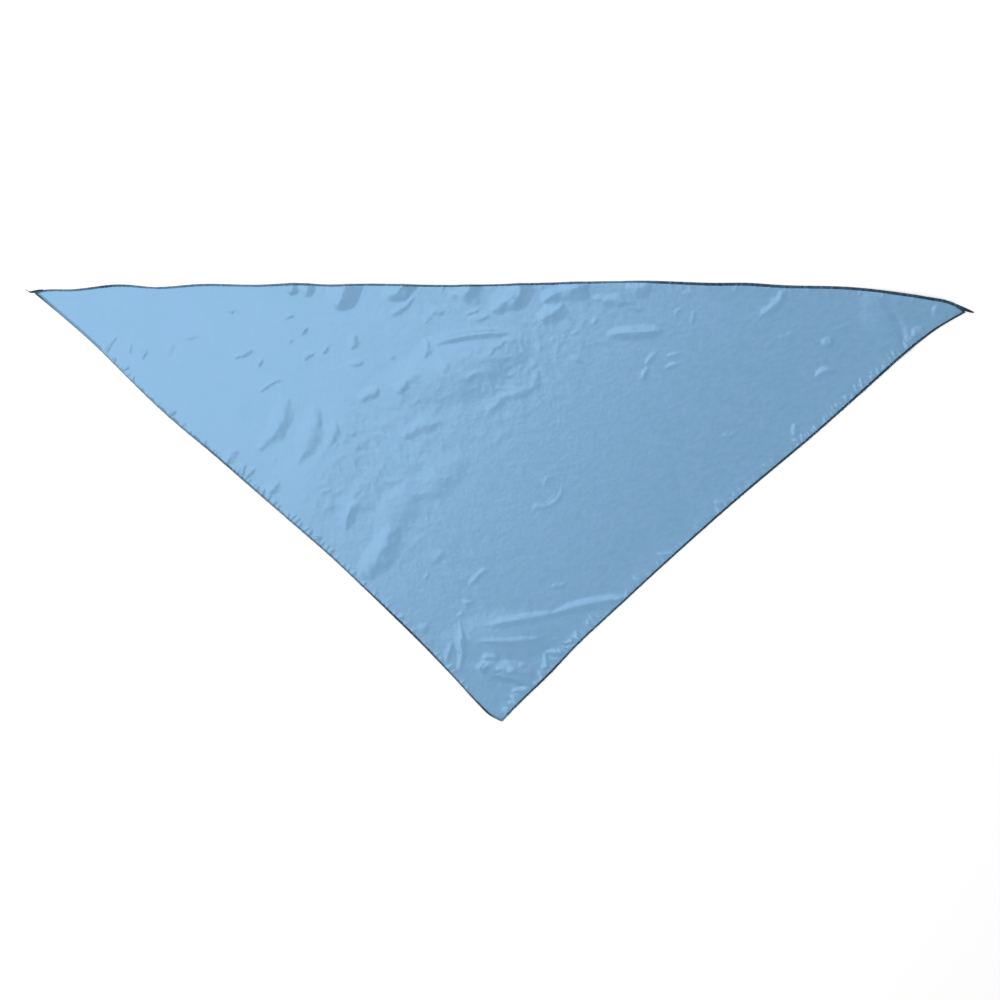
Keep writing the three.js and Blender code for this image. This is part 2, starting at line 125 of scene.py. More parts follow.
CREASES = (
    Fold(0.086, 0.132, 56, 1.9, 0.07, 0.38, 0.95, 0.9),  # left tip and left side
    Fold(0.146, 0.129, 51, 1.0, 0.00, 0.92, 0.70, 0.5),
    Fold(0.169, 0.096, 7, 1.3, 0.00, 0.92, 0.63, 0.5),
    Fold(0.122, 0.142, 59, 0.8, 0.00, 0.92, 0.84, 0.6),
    Fold(0.104, 0.128, 69, 0.8, 0.00, 0.63, 0.70, 0.8),
    Fold(0.210, 0.038, 20, 0.5, 0.00, 0.57, 0.91, 0.8),
    Fold(0.274, 0.044, 22, 0.9, 0.00, 0.57, 0.91, 0.9),
    Fold(0.292, 0.084, 60, 0.8, 0.00, 0.69, 0.98, 0.9),
    Fold(0.275, 0.105, 46, 0.4, 0.00, 0.63, 0.70, 0.8),
    Fold(0.314, 0.121, 63, 0.7, 0.00, 0.57, 0.70, 0.8),
    Fold(0.297, 0.140, 31, 0.8, 0.00, 0.63, 0.84, 0.9),
    Fold(0.226, 0.139, 27, 1.6, -0.03, 0.63, 1.05, 1.0),
    Fold(0.244, 0.157, 67, 0.6, 0.00, 0.80, 0.70, 0.6),
    Fold(0.345, 0.106, 87, 0.8, 0.00, 1.15, 0.77, 0.5),
    Fold(0.346, 0.154, 13, 1.2, 0.00, 1.15, 0.70, 0.4),
    Fold(0.363, 0.229, 24, 1.7, 0.00, 1.60, 0.95, 0.4),
    Fold(0.384, 0.137, 24, 0.6, 0.00, 0.92, 0.35, 0.5),
    Fold(0.420, 0.119, -85, 1.4, 0.08, 1.15, 0.90, 0.5),
    Fold(0.442, 0.159, 63, 0.8, 0.00, 1.15, 0.39, 0.5),
    Fold(0.468, 0.179, 30, 1.3, 0.00, 1.15, 0.39, 0.5),
    Fold(0.408, 0.183, 20, 1.3, 0.00, 1.49, 0.56, 0.5),
    Fold(0.397, 0.205, 46, 1.3, 0.00, 1.72, 0.80, 0.4),
    Fold(0.322, 0.323, 70, 1.8, -0.06, 1.72, 0.70, 0.4),
    Fold(0.344, 0.319, 33, 0.5, 0.00, 0.63, 0.42, 0.8),
    Fold(0.217, 0.381, 66, 1.1, 0.00, 1.49, 0.98, 0.4),
    Fold(0.235, 0.419, 46, 0.8, 0.00, 0.92, 0.70, 0.6),
    Fold(0.263, 0.455, 46, 1.1, 0.00, 1.72, 0.98, 0.5),
    Fold(0.317, 0.458, 33, 0.7, 0.00, 0.63, 0.31, 0.7),
    Fold(0.323, 0.492, 69, 0.9, 0.00, 1.49, 0.39, 0.4),
    Fold(0.294, -0.030, 84, 1.5, 0.00, 1.72, 1.96, 0.8),  # along the long edge
    Fold(0.395, 0.019, 38, 2.0, 0.00, 1.09, 0.91, 0.7),
    Fold(0.422, 0.044, 74, 0.8, 0.00, 0.92, 0.42, 0.6),
    Fold(0.432, 0.026, 15, 1.0, 0.00, 0.86, 0.67, 0.8),
    Fold(0.453, -0.016, 26, 0.9, 0.00, 1.15, 0.70, 0.7),
    Fold(0.468, -0.030, 40, 2.0, 0.00, 3.00, 2.00, 0.8),
    Fold(0.469, 0.025, 12, 0.9, 0.00, 0.69, 0.59, 0.8),
    Fold(0.478, 0.040, 11, 1.6, 0.00, 1.15, 0.59, 0.7),
    Fold(0.502, -0.001, 50, 1.8, 0.00, 2.80, 1.80, 0.8),
    Fold(0.556, 0.027, 31, 1.8, 0.00, 2.10, 1.70, 0.9),
    Fold(0.556, -0.014, 29, 1.5, 0.00, 2.00, 1.50, 1.0),
    Fold(0.579, -0.035, 17, 1.9, 0.00, 3.00, 1.80, 0.8),
    Fold(0.620, -0.008, -7, 2.9, 0.00, 1.49, 0.84, 0.6),
    Fold(0.648, -0.040, 1, 2.0, 0.00, 2.10, 1.60, 0.6),
    Fold(0.644, 0.010, 1, 1.5, 0.00, 0.80, 0.36, 0.5),
    Fold(0.702, -0.032, 1, 0.9, 0.00, 1.00, 0.36, 0.5),
    Fold(0.547, 0.043, 11, 0.6, 0.00, 1.49, 0.49, 0.6),
    Fold(0.582, 0.068, 33, 0.6, 0.00, 0.52, 0.42, 1.0),
    Fold(0.559, 0.085, 40, 0.3, 0.00, 0.52, 0.42, 1.0),
    Fold(0.569, 0.078, 50, 0.3, 0.00, 0.52, 0.36, 1.0),
    Fold(0.602, 0.042, 55, 0.3, 0.00, 0.52, 0.56, 1.0),
    Fold(0.664, 0.129, 57, 1.2, 0.09, 0.90, 0.66, 0.8),
    Fold(0.657, 0.167, 70, 1.0, 0.00, 1.00, 0.60, 0.6),
    Fold(0.688, 0.121, 21, 0.9, 0.00, 0.65, 0.54, 0.8),
    Fold(0.684, 0.146, 12, 1.2, 0.04, 0.75, 0.74, 0.8),
    Fold(0.539, 0.186, 65, 1.0, 0.00, 1.49, 0.56, 0.6),
    Fold(0.583, 0.137, -25, 0.9, 0.00, 0.63, 0.35, 0.7),
    Fold(0.691, 0.019, 51, 0.7, 0.00, 0.55, 0.30, 0.7),
    Fold(0.706, 0.031, 70, 0.8, 0.00, 0.65, 0.36, 0.7),
    Fold(0.851, 0.083, 35, 0.9, 0.00, 1.28, 1.26, 0.5),  # right side and right tip
    Fold(0.849, 0.155, 10, 1.4, 0.00, 1.28, 1.44, 0.5),
    Fold(0.807, 0.070, 14, 1.6, 0.00, 1.30, 0.45, 0.4),
    Fold(0.872, 0.045, 4, 2.2, 0.00, 0.80, 0.20, 0.3),
    Fold(0.969, 0.008, -35, 1.3, 0.00, 2.20, 1.40, 0.5),
    Fold(0.948, 0.052, 46, 0.9, 0.00, 1.60, 1.35, 0.5),
    Fold(0.818, 0.293, 78, 0.9, 0.00, 1.00, 0.84, 0.5),
    Fold(0.746, 0.306, 20, 1.1, 0.00, 0.80, 0.46, 0.4),
    Fold(0.738, 0.467, 15, 0.6, 0.00, 0.80, 0.42, 0.6),
    Fold(0.681, 0.593, 1, 0.8, 0.00, 0.80, 0.48, 0.6),
    Fold(0.652, 0.656, 11, 0.8, 0.00, 0.80, 0.54, 0.6),
    Fold(0.552, 0.425, 74, 0.7, 0.00, 0.92, 0.35, 0.5),  # middle and lower left
    Fold(0.549, 0.488, 19, 1.1, 0.00, 0.92, 0.42, 0.5),
    Fold(0.567, 0.671, 5, 1.0, 0.00, 0.80, 0.42, 0.4),
    Fold(0.386, 0.722, 65, 0.5, 0.00, 0.80, 0.42, 0.7),
    Fold(0.439, 0.608, 62, 1.2, 0.00, 1.30, 0.48, 0.5),
    Fold(0.428, 0.659, 65, 0.4, 0.00, 0.65, 0.30, 0.6),
    Fold(0.481, 0.657, 45, 1.4, -0.04, 0.80, 0.66, 0.9),
    Fold(0.470, 0.719, 23, 0.7, 0.00, 0.80, 0.62, 0.8),  # point
    Fold(0.463, 0.748, 30, 0.4, 0.00, 0.65, 0.54, 0.8),
    Fold(0.426, 0.782, 49, 1.0, 0.00, 1.30, 0.72, 0.5),
    Fold(0.452, 0.838, 75, 1.5, 0.00, 1.00, 0.84, 0.7),
    Fold(0.497, 0.846, 1, 1.2, 0.00, 1.30, 1.32, 0.8),
    Fold(0.493, 0.874, 60, 0.9, 0.00, 1.00, 0.90, 0.7),
    Fold(0.521, 0.875, 32, 0.5, 0.00, 1.00, 0.78, 0.6),
    Fold(0.533, 0.859, 1, 0.6, 0.00, 0.80, 0.54, 0.4),
    Fold(0.576, 0.799, -7, 1.5, 0.00, 0.80, 0.66, 0.4),
    Fold(0.557, 0.859, 87, 1.0, 0.00, 1.00, 0.90, 0.7),
    Fold(0.569, 0.836, 14, 1.3, 0.00, 1.00, 1.08, 0.7),
    Fold(0.531, 0.925, 21, 1.1, 0.00, 1.00, 0.96, 0.7),
    Fold(0.528, 0.939, 1, 0.6, 0.00, 0.65, 0.54, 0.8),
)
SWELLS = (
    Fold(0.315, 0.390, -112, 1.30, 0.00, 1.50, 0.40, 0),
    Fold(0.455, 0.160, 20, 1.35, 0.00, 1.30, 0.80, 0),
    Fold(0.510, 0.800, 6, 1.10, 0.00, 1.00, 0.60, 0),
    Fold(0.915, 0.040, -55, 0.75, 0.00, 0.90, 0.70, 0),
    Fold(0.350, 0.480, 55, 0.50, 0.00, 0.60, 0.26, 0),
    Fold(0.395, 0.500, 60, 0.60, 0.00, 0.70, 0.34, 0),
    Fold(0.440, 0.420, 40, 0.60, 0.00, 0.70, 0.30, 0),
    Fold(0.945, -0.025, -8, 0.95, 0.00, 1.00, 1.00, 0),
)

# The cloth is finely crumpled all over, in coarse crests with finer ones between, and more so in
# a few patches: a patch's middle as shares of LONG_EDGE and POINT_DROP, its reach, and how much
# more.
CRUMPLE_HEIGHT = 0.12 * MM
COARSE_CRUMPLE = 32 * MM
FINE_CRUMPLE = 15 * MM
CRUMPLE_EVERYWHERE = 0.3
Patch = namedtuple("Patch", "along down reach more")
PATCHES = (
    Patch(0.51, 0.17, 45 * MM, 1.2),
    Patch(0.42, 0.25, 90 * MM, 0.6),
    Patch(0.57, 0.00, 80 * MM, 0.7),
    Patch(0.50, 0.80, 90 * MM, 0.5),
    Patch(0.35, 0.37, 60 * MM, 0.7),
    Patch(0.39, 0.55, 70 * MM, 0.6),
)

# Where the hem's thread has drawn the cloth together into small puckers square to the edge:
# for each edge, stretches from one share to another, how far apart the puckers are, and how
# long and high they are as shares of their sizes above. Their spacing, size and width vary
# between the shares given here, and their turn by PUCKER_TURN in radians.
PUCKER_SPACINGS = (0.5, 1.6)
PUCKER_SIZES = (0.45, 1)
PUCKER_WIDTHS = (0.6, 1.2)
PUCKER_TURN = 0.22
PUCKER_CRISP = 0.8
Stretch = namedtuple("Stretch", "start end spacing long high")
PUCKERS = (
    (Stretch(0.05, 0.42, 26 * MM, 0.5, 0.6), Stretch(0.42, 0.95, 15 * MM, 0.5, 0.7)),
    (Stretch(0.07, 0.34, 4.6 * MM, 0.6, 2.4), Stretch(0.34, 0.5, 8 * MM, 0.5, 1.4),
     Stretch(0.5, 0.76, 10 * MM, 0.5, 1.1), Stretch(0.76, 0.86, 5 * MM, 0.8, 1.9),
     Stretch(0.86, 0.98, 6 * MM, 0.6, 1.8)),
    (Stretch(0.04, 0.3, 12 * MM, 0.5, 1.2), Stretch(0.3, 0.4, 9 * MM, 0.55, 2),
     Stretch(0.4, 0.62, 6.5 * MM, 0.55, 2.5), Stretch(0.62, 0.83, 15 * MM, 0.45, 2.4)),
)


def corners_of(inset):
    """The corners of the cloth, with every edge moved in from the hems' outer edge."""
    outer = np.array([(0, 0), (LONG_EDGE, 0), (POINT_ALONG, -POINT_DROP)])
    moved = []
    for i, corner in enumerate(outer):
        to_next = outer[(i + 1) % 3] - corner
        to_last = outer[(i + 2) % 3] - corner
        inwards = to_next / np.linalg.norm(to_next) + to_last / np.linalg.norm(to_last)
        inwards /= np.linalg.norm(inwards)
        half_angle = math.acos(inwards @ to_next / np.linalg.norm(to_next))
        moved.append(corner + inwards * inset / math.sin(half_angle))
    return np.array(moved)


def bow_at(rows, share):
    """A smooth curve through the rows, at each share along the edge."""
    places, bows = np.array(rows).T
    slopes = np.diff(bows) / np.diff(places)
    tangents = np.concatenate([slopes[:1], (slopes[:-1] + slopes[1:]) / 2, slopes[-1:]])
    i = np.clip(np.searchsorted(places, share) - 1, 0, len(slopes) - 1)
    step = places[i + 1] - places[i]
    t = (share - places[i]) / step
    rise = bows[i + 1] - bows[i]
    start = step * tangents[i]
    end = step * tangents[i + 1]
    return bows[i] + t * (start + t * (3 * rise - 2 * start - end + t * (start + end - 2 * rise)))


def plan_of(weights, corners):
    """Places seen from above, from weights towards the three corners."""
    places = weights @ corners
    for i, rows in enumerate(EDGE_BOWS):
        line = corners[(i + 1) % 3] - corners[i]
        outwards = np.array([-line[1], line[0]])
        nearness = weights[:, i] + weights[:, (i + 1) % 3]
        share = weights[:, (i + 1) % 3] / np.maximum(nearness, 1e-9)
        places = places + np.outer(bow_at(rows, share) * nearness**BOW_FADE, outwards)
    return places


CLOTH_CORNERS = corners_of(HEM_WIDTH / 2)
Ridge = namedtuple("Ridge", "middle turn half_length half_width bow height crisp")


def ridges_of(rows, length, width, height):
    """A table's rows, worked out in metres."""
    for row in rows:
        middle = np.array([row.along * LONG_EDGE, -row.down * POINT_DROP])
        long = row.long * length
        yield Ridge(middle, math.radians(row.turn), long / 2, row.wide * width / 2,
                    row.bow * long, row.high * height, row.crisp)


EDGE_STEP = 0.002


def edge_point(edge, share):
    """A place on an edge of the cloth, and the way square to the edge there, into the cloth."""
    shares = share + np.array([-EDGE_STEP, 0, EDGE_STEP])
    weights = np.zeros((3, 3))
    weights[:, edge] = 1 - shares
    weights[:, (edge + 1) % 3] = shares
    before, here, after = plan_of(weights, CLOTH_CORNERS)
    return here, math.atan2(after[1] - before[1], after[0] - before[0]) - math.pi / 2


def puckers():
    """The small ridges beside the hems, unevenly spaced and turned."""
    rng = np.random.default_rng(11)
    for edge, stretches in enumerate(PUCKERS):
        line = CLOTH_CORNERS[(edge + 1) % 3] - CLOTH_CORNERS[edge]
        for stretch in stretches:
            share = stretch.start
            while share < stretch.end:
                share += stretch.spacing * rng.uniform(*PUCKER_SPACINGS) / np.linalg.norm(line)
                place, inwards = edge_point(edge, share)
                size = rng.uniform(*PUCKER_SIZES)
                yield Ridge(place, inwards + rng.normal(0, PUCKER_TURN),
                            stretch.long * PUCKER_LENGTH * size,
                            PUCKER_WIDTH * rng.uniform(*PUCKER_WIDTHS) / 2, 0,
                            stretch.high * PUCKER_HEIGHT * size, PUCKER_CRISP)


WAVERING = [
    *ridges_of(FOLDS, FOLD_LENGTH, FOLD_WIDTH, FOLD_HEIGHT),
    *ridges_of(CREASES, CREASE_LENGTH, CREASE_WIDTH, CREASE_HEIGHT),
    *puckers(),
]
STRAIGHT = [
    *ridges_of(PRESSED, FOLD_LENGTH, FOLD_WIDTH, FOLD_HEIGHT),
    *ridges_of(SWELLS, SWELL_LENGTH, SWELL_WIDTH, SWELL_HEIGHT),
]


ROUNDEST = 2.1
TAPER = 1.2
END_WIDTH = 0.25


def profile(share, crisp):
    """From 1 at the crest to 0 at the foot, with flatter flanks the crisper it is."""
    roundness = ROUNDEST - crisp
    return (1 - np.minimum(share, 1) ** roundness) ** roundness


def raise_ridge(height, places, ridge):
    """Adds one ridge to the height of the places that it reaches.

    The crisper it is, the longer it keeps its height and width towards its ends.
    """
    reach = ridge.half_length + ridge.half_width + abs(ridge.bow)
    near = np.flatnonzero(np.abs(places - ridge.middle).max(axis=1) < reach)
    x, y = (places[near] - ridge.middle).T
    along = (x * math.cos(ridge.turn) + y * math.sin(ridge.turn)) / ridge.half_length
    across = y * math.cos(ridge.turn) - x * math.sin(ridge.turn)
    crest = ridge.bow * (1 - along**2)
    taper = (1 - np.minimum(np.abs(along), 1) ** (2 + 2 * ridge.crisp)) ** TAPER
    width = ridge.half_width * (END_WIDTH + (1 - END_WIDTH) * taper)
    flank = np.abs(across - crest) / width
    height[near] += ridge.height * taper * profile(flank, ridge.crisp)


WAVES = 14
WAVE_LENGTHS = (0.7, 1.4)


def ripples(places, wavelength, seed):
    """An even, seeded unrest of the surface: many waves of about one length, added up."""
    rng = np.random.default_rng(seed)
    angles = rng.uniform(0, 2 * math.pi, WAVES)
    lengths = wavelength * rng.uniform(*WAVE_LENGTHS, WAVES)
    phases = rng.uniform(0, 2 * math.pi, WAVES)
    ways = np.stack([np.cos(angles), np.sin(angles)]) * (2 * math.pi / lengths)
    return np.sin(places @ ways + phases).sum(axis=1) / math.sqrt(WAVES / 2)


def drift(places, wavelength, seeds):
    """Ripples lengthways and sideways, from a seed for each."""
    return np.stack([ripples(places, wavelength, seed) for seed in seeds], axis=1)


def crests(places, wavelength, seed):
    """Sharp crests between round hollows, from 0 to 2."""
    return 2 - np.minimum(np.abs(ripples(places, wavelength, seed)), 2)


WANDER = 1.2 * MM
WANDER_LENGTH = 45 * MM
TREMOR = 0.65 * MM
TREMOR_LENGTH = 13 * MM
UNEVEN_HEIGHT = 0.15
UNEVEN_LENGTH = 30 * MM


def relief_of(places):
    """The height of the cloth's underside over what it lies on."""
    wander = drift(places, WANDER_LENGTH, (1, 2)) * WANDER
    tremor = drift(places, TREMOR_LENGTH, (3, 4)) * TREMOR
    warped = places + wander + tremor
    height = np.zeros(len(places))
    for ridge in WAVERING:
        raise_ridge(height, warped, ridge)
    height *= 1 + UNEVEN_HEIGHT * np.tanh(ripples(places, UNEVEN_LENGTH, 5))
    for ridge in STRAIGHT:
        raise_ridge(height, places, ridge)
    crumple = crests(warped, COARSE_CRUMPLE, 16) + crests(warped, FINE_CRUMPLE, 17) / 2
    strength = np.full(len(places), CRUMPLE_EVERYWHERE)
    for patch in PATCHES:
        middle = (patch.along * LONG_EDGE, -patch.down * POINT_DROP)
        distance = np.linalg.norm(places - middle, axis=1)
        strength += patch.more * np.exp(-((distance / patch.reach) ** 2))
    return np.maximum(height, 0) + CRUMPLE_HEIGHT * strength * crumple


# How far each corner is from the edge across from it.
EDGE_DISTANCES = np.array([
    POINT_DROP * LONG_EDGE / math.hypot(LONG_EDGE - POINT_ALONG, POINT_DROP),
    POINT_DROP * LONG_EDGE / math.hypot(POINT_ALONG, POINT_DROP),
    POINT_DROP,
])


def underside_of(weights):
    """Points of the cloth's underside. Near a hem it climbs to the middle of the roll."""
    plan = plan_of(weights, CLOTH_CORNERS)
    to_edge = (weights * EDGE_DISTANCES).min(axis=1)
    climb = HEM_RISE * np.exp(-((to_edge / RISE_REACH) ** 2))
    return np.column_stack([plan, relief_of(plan) + climb])


# The panel starts as an even grid of triangles, whose points are weights towards the three
# corners. The first side of each triangle is the one that is cut first.
GRID_STEPS = 190
grid_index = {}
grid_weights = []
for down in range(GRID_STEPS + 1):
    for along in range(GRID_STEPS + 1 - down):
        grid_index[along, down] = len(grid_weights)
        grid_weights.append((GRID_STEPS - along - down, along, down))
panel_weights = np.array(grid_weights) / GRID_STEPS
panel_faces = []
for down in range(GRID_STEPS):
    for along in range(GRID_STEPS - down):
        here = grid_index[along, down]
        right = grid_index[along + 1, down]
        below = grid_index[along, down + 1]
        panel_faces.append((right, here, below))
        if (along + 1, down + 1) in grid_index:
            panel_faces.append((below, grid_index[along + 1, down + 1], right))
panel_faces = np.array(panel_faces)
panel_points = underside_of(panel_weights)

# Then it is made finer where it bends: a side is cut in two where the cloth stands off the
# straight line between its ends by more than BEND_LIMIT of its length, and each triangle's first
# side is cut with any other of its sides.
BEND_LIMIT = 0.0075
FINEST_SIDE = 1.1 * MM
FINER_PASSES = 6


def cut_in_two(faces, cuts):
    """Halves the faces whose first side has a cut, and gives each half its one other cut."""
    split = cuts[:, 0] >= 0
    a, b, c = faces[split].T
    ab, bc, ca = cuts[split].T
    halves = np.concatenate([np.stack([c, a, ab], axis=1), np.stack([b, c, ab], axis=1)])
    return faces[~split], halves, np.concatenate([ca, bc])


for _ in range(FINER_PASSES):
    sides = np.sort(panel_faces[:, [[0, 1], [1, 2], [2, 0]]], axis=2).reshape(-1, 2)
    keys, side_of = np.unique(sides[:, 0] * len(panel_points) + sides[:, 1], return_inverse=True)
    side_of = side_of.reshape(-1, 3)
    starts, ends = np.divmod(keys, len(panel_points))
    middle_weights = (panel_weights[starts] + panel_weights[ends]) / 2
    middle_points = underside_of(middle_weights)
    lengths = np.linalg.norm(panel_points[ends] - panel_points[starts], axis=1)
    sag = np.abs(middle_points - (panel_points[starts] + panel_points[ends]) / 2)[:, 2]
    is_cut = (sag > BEND_LIMIT * lengths) & (lengths > 2 * FINEST_SIDE)
    asked = [True]
    while np.any(asked):
        asked = is_cut[side_of].any(axis=1) & ~is_cut[side_of[:, 0]]
        is_cut[side_of[asked, 0]] = True
    middle_index = np.full(len(keys), -1)
    middle_index[is_cut] = len(panel_points) + np.arange(is_cut.sum())
    whole, halves, cuts = cut_in_two(panel_faces, middle_index[side_of])
    no_cuts = np.full(len(halves), -1)
    kept, quarters, _ = cut_in_two(halves, np.stack([cuts, no_cuts, no_cuts], axis=1))
    panel_faces = np.concatenate([whole, kept, quarters])
    panel_weights = np.concatenate([panel_weights, middle_weights[is_cut]])
    panel_points = np.concatenate([panel_points, middle_points[is_cut]])

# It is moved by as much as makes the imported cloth's box and the same outline agree.
cad_outline = plan_of(panel_weights, corners_of(HEM_WIDTH + SEAM_GAP))
TO_FRAME = np.append(np.array(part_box("cloth")[0][:2]) - cad_outline.min(axis=0), 0)

# The same panel again, a thickness higher, and a narrow wall along the rim close the sheet.
rim = []
for edge in range(3):
    on_edge = np.flatnonzero(panel_weights[:, (edge + 2) % 3] == 0)
    order = np.argsort(panel_weights[on_edge, (edge + 1) % 3])
    rim.extend(on_edge[order][:-1])
rim = np.array(rim)
rim_next = np.roll(rim, -1)
under = panel_points + TO_FRAME
upper = under + (0, 0, CLOTH_THICKNESS)
to_under = len(upper)
cloth_faces = np.concatenate([
    panel_faces,
    panel_faces[:, ::-1] + to_under,
    np.stack([rim + to_under, rim, rim_next], axis=1),
    np.stack([rim + to_under, rim_next, rim_next + to_under], axis=1),
])
cloth_mesh = bpy.data.meshes.new("satin_cloth")
cloth_mesh.from_pydata(np.concatenate([upper, under]).tolist(), [], cloth_faces.tolist())
cloth_mesh.update()
cloth_mesh.shade_smooth()
cloth = bpy.data.objects.new("satin_cloth", cloth_mesh)
bpy.context.collection.objects.link(cloth)


def add_weave_map(mesh, metres):
    """A UV map that counts metres along the threads and across them, from a pair for each point."""
    weave_map = mesh.uv_layers.new(name="weave")
    corner_points = np.zeros(len(mesh.loops), dtype=np.int32)
    mesh.loops.foreach_get("vertex_index", corner_points)
    weave_map.data.foreach_set("uv", metres[corner_points].ravel())


# The threads run along the two short edges.
SHORT_EDGES = (math.hypot(POINT_ALONG, POINT_DROP), math.hypot(LONG_EDGE - POINT_ALONG, POINT_DROP))
add_weave_map(cloth_mesh, np.tile(panel_weights[:, :2] * SHORT_EDGES, (2, 1)))

# Every warp thread passes over four weft threads and is tied down by the fifth, two weft threads
# on from where its neighbour is.
FLOAT_THREADS = 5
TIE_STEP = 2
TIE_SLOPE = 8


def math_node(tree, operation, first, second=None):
    """A math node on one or two sockets or numbers."""
    node = tree.nodes.new("ShaderNodeMath")
    node.operation = operation
    for socket, value in zip(node.inputs, (first, second)):
        if isinstance(value, bpy.types.NodeSocket):
            tree.links.new(value, socket)
        elif value is not None:
            socket.default_value = value
    return node.outputs[0]


def weave_group():
    """Five-thread satin: long floats side by side, each tied down a step on from the last."""
    tree = bpy.data.node_groups.new("satin weave", "ShaderNodeTree")
    tree.interface.new_socket("Place", in_out="INPUT", socket_type="NodeSocketVector")
    tree.interface.new_socket("Thread Width", in_out="INPUT", socket_type="NodeSocketFloat")
    tree.interface.new_socket("Height", in_out="OUTPUT", socket_type="NodeSocketFloat")
    entry = tree.nodes.new("NodeGroupInput")
    way_out = tree.nodes.new("NodeGroupOutput")
    axes = tree.nodes.new("ShaderNodeSeparateXYZ")
    tree.links.new(entry.outputs["Place"], axes.inputs[0])
    thread = math_node(tree, "DIVIDE", axes.outputs["Y"], entry.outputs["Thread Width"])
    thread_number = math_node(tree, "FLOOR", thread)
    side = math_node(tree, "FRACT", thread)
    crown = math_node(tree, "PINGPONG", side, 0.5)
    float_length = math_node(tree, "MULTIPLY", entry.outputs["Thread Width"], FLOAT_THREADS)
    floats = math_node(tree, "DIVIDE", axes.outputs["X"], float_length)
    step = math_node(tree, "MULTIPLY", thread_number, TIE_STEP / FLOAT_THREADS)
    phase = math_node(tree, "FRACT", math_node(tree, "ADD", floats, step))
    tie = math_node(tree, "PINGPONG", phase, 0.5)
    rise = math_node(tree, "MINIMUM", math_node(tree, "MULTIPLY", tie, TIE_SLOPE), 1)
    height = math_node(tree, "MULTIPLY", math_node(tree, "MULTIPLY", crown, 2), rise)
    tree.links.new(height, way_out.inputs["Height"])
    return tree


def noise_node(tree, place, size, detail):
    """Soft unrest between 0 and 1, with lumps of about the size."""
    node = tree.nodes.new("ShaderNodeTexNoise")
    node.inputs["Scale"].default_value = 1 / size
    node.inputs["Detail"].default_value = detail
    tree.links.new(place, node.inputs["Vector"])
    return node.outputs["Fac"]


def mixed_colour(tree, share, first, second):
    """A colour between two, by the share of the second."""
    node = tree.nodes.new("ShaderNodeMix")
    node.data_type = "RGBA"
    node.inputs["A"].default_value = (*first, 1)
    node.inputs["B"].default_value = (*second, 1)
    tree.links.new(share, node.inputs["Factor"])
    return node.outputs["Result"]


def ranged(tree, value, before, after):
    """A value carried from one range, given by its ends, to another."""
    node = tree.nodes.new("ShaderNodeMapRange")
    node.inputs["From Min"].default_value, node.inputs["From Max"].default_value = before
    node.inputs["To Min"].default_value, node.inputs["To Max"].default_value = after
    tree.links.new(value, node.inputs["Value"])
    return node.outputs["Result"]


def bumped(tree, height, distance, normal=None):
    """A normal from a height that is worth the distance from 0 to 1, over another normal."""
    node = tree.nodes.new("ShaderNodeBump")
    node.inputs["Distance"].default_value = distance
    tree.links.new(height, node.inputs["Height"])
    if normal:
        tree.links.new(normal, node.inputs["Normal"])
    return node.outputs["Normal"]


WEAVE_THREAD = 0.25 * MM
WEAVE_HEIGHT = 0.004 * MM
UNREST_SIZE = 5 * MM
UNREST_HEIGHT = 0.22 * MM
SATIN_BLUE = (0.152, 0.322, 0.498)
SATIN_VIOLET = (0.163, 0.322, 0.514)
SHADE_SIZE = 40 * MM
SHADE_CONTRAST = (0.3, 0.7)
# The next constants set the specks in the satin's colour: a little uneven dye and mostly painted
# shade of fine slanting wrinkles, faint on the left and full on the right.
UNEVEN_DYE_AND_SHADE = 0.28
SPECK_SIZE = 5 * MM
STREAK_TURN = 22
STREAK_STRETCH = 2
PAINTED_SHADE_FADES = (-LONG_EDGE / 4, LONG_EDGE / 4)
SHEEN = 0.25
SATIN_ROUGHNESS = (0.26, 0.33)
GLOSS_SIZE = 25 * MM


